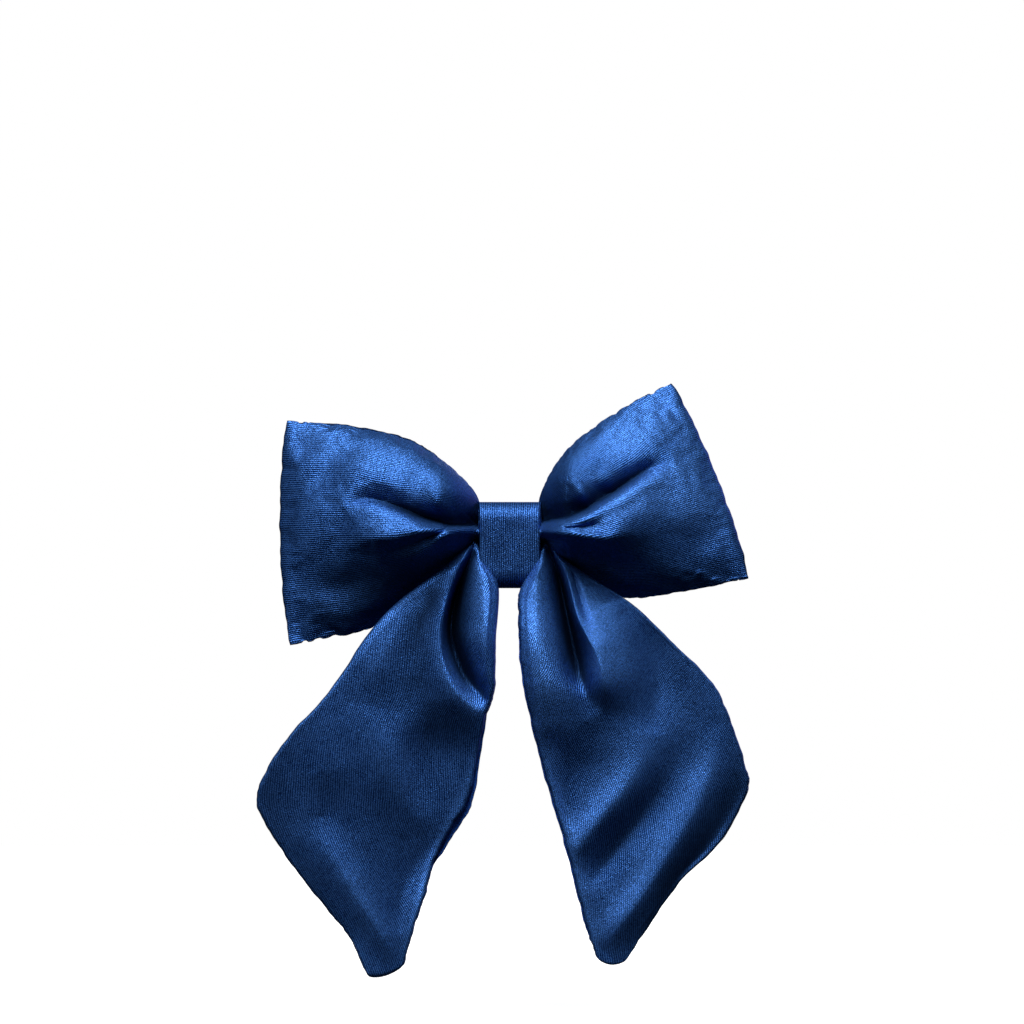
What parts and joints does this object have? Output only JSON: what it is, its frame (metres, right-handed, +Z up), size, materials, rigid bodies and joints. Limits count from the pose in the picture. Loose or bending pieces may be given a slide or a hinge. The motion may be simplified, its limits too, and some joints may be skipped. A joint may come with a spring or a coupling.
{
  "type": "hair bow",
  "caption": "Stuffed fabric hair bow with puffed loops, a ribbed knot band and long hanging tails, sewn to a French barrette that clips into hair.",
  "frame": {"origin": "middle of the gap between the barrette's base and its spring leaf, where the hair is held, behind the middle of the knot", "axes": "+Z up towards the top of the loops, +X to the right seen from the front, +Y towards the wearer's head; the bow's front faces -Y"},
  "size_m": [0.1669, 0.0505, 0.2002],
  "materials": {
    "velvet": "ribbed stretch velvet, navy, satin sheen",
    "lining": "plain satin lining, royal blue",
    "filling": "loose polyester fibre, matte",
    "thread": "spun polyester thread, navy",
    "plated_steel": "nickel plate, satin",
    "spring_steel": "nickel plate, bright"
  },
  "bodies": {
    "bow": {"left_loop_front_panel": "velvet", "left_loop_back_panel": "velvet", "left_loop_filling": "filling", "left_loop_neck": "velvet", "right_loop_front_panel": "velvet", "right_loop_back_panel": "velvet", "right_loop_filling": "filling", "right_loop_neck": "velvet", "left_tail_gather": "velvet", "right_tail_gather": "velvet", "knot_band": "velvet", "binding_thread": "thread", "barrette_base": "plated_steel", "hinge_pin": "plated_steel", "catch_plate": "spring_steel", "catch_rivet": "plated_steel", "left_upper_stitch": "thread", "left_lower_stitch": "thread", "right_upper_stitch": "thread", "right_lower_stitch": "thread"},
    "left_tail": {"left_tail_front_panel": "velvet", "left_tail_back_panel": "lining"},
    "right_tail": {"right_tail_front_panel": "velvet", "right_tail_back_panel": "lining"},
    "arm": {"clasp_arm": "plated_steel"},
    "leaf": {"tension_leaf": "spring_steel"},
    "upper_wing": {"upper_catch_wing": "spring_steel"},
    "lower_wing": {"lower_catch_wing": "spring_steel"}
  },
  "joints": [
    {"name": "clasp_open", "type": "hinge", "parent": "bow", "child": "arm", "pos_m": [0.037, 0.00347, 0], "axis": [0, 0, -1], "range_deg": [0, 80]},
    {"name": "leaf_swing", "type": "hinge", "parent": "bow", "child": "leaf", "pos_m": [0.037, 0.00347, 0], "axis": [0, 0, -1], "range_deg": [0, 40]},
    {"name": "catch_pinch", "type": "hinge", "parent": "bow", "child": "upper_wing", "pos_m": [-0.0365, -0.00021, 0.00315], "axis": [-1, 0, 0], "range_deg": [0, 6], "stiffness_Nm_per_rad": 0.00004},
    {"name": "lower_catch_pinch", "type": "hinge", "parent": "bow", "child": "lower_wing", "pos_m": [-0.0365, -0.00021, -0.00315], "axis": [1, 0, 0], "range_deg": [0, 6]},
    {"name": "left_tail_lift", "type": "hinge", "parent": "bow", "child": "left_tail", "pos_m": [-0.027, -0.0253, -0.03], "axis": [-1, 0, 0], "range_deg": [0, 60]},
    {"name": "right_tail_lift", "type": "hinge", "parent": "bow", "child": "right_tail", "pos_m": [0.027, -0.0253, -0.03], "axis": [-1, 0, 0], "range_deg": [0, 60]}
  ],
  "couplings": [
    {"joint": "leaf_swing", "follows": "clasp_open", "ratio": 0.5},
    {"joint": "lower_catch_pinch", "follows": "catch_pinch", "ratio": 1}
  ]
}
